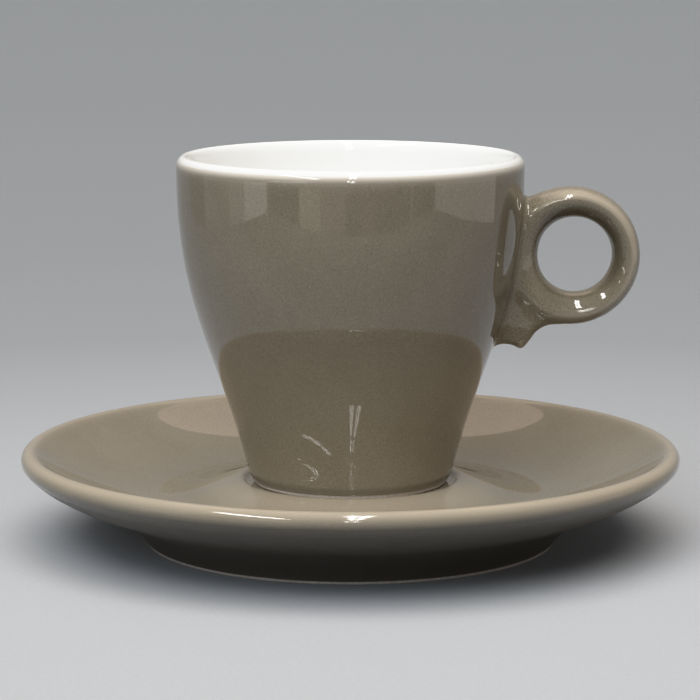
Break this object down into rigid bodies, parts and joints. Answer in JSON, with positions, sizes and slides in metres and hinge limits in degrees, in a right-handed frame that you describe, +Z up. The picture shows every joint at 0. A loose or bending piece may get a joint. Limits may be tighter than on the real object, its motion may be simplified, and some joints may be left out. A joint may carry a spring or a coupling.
{
  "type": "cup with saucer",
  "caption": "Tapered glazed cup with a round ring handle and a spur below it, standing loose in the ringed well of a wide saucer on a foot ring; holds a milky coffee.",
  "frame": {"origin": "middle of the saucer's foot ring, on the plane it stands on", "axes": "+Z up along the cup's and saucer's axis, +X towards the handle"},
  "size_m": [0.15, 0.15, 0.0882],
  "materials": {
    "bare_clay": "unglazed, fine and dry",
    "taupe_glaze": "glossy grey-brown glaze with a fine speckle",
    "white_glaze": "glossy white glaze"
  },
  "bodies": {
    "saucer": {"saucer_body": "bare_clay", "saucer_glaze": "taupe_glaze"},
    "cup": {"cup_body": "bare_clay", "cup_handle": "taupe_glaze", "cup_outer_glaze": "taupe_glaze", "cup_inner_glaze": "white_glaze"}
  },
  "joints": [
    {"name": "cup_lift", "type": "slide", "parent": "saucer", "child": "cup", "axis": [0, 0, 1], "range_m": [0, 0.1]}
  ]
}
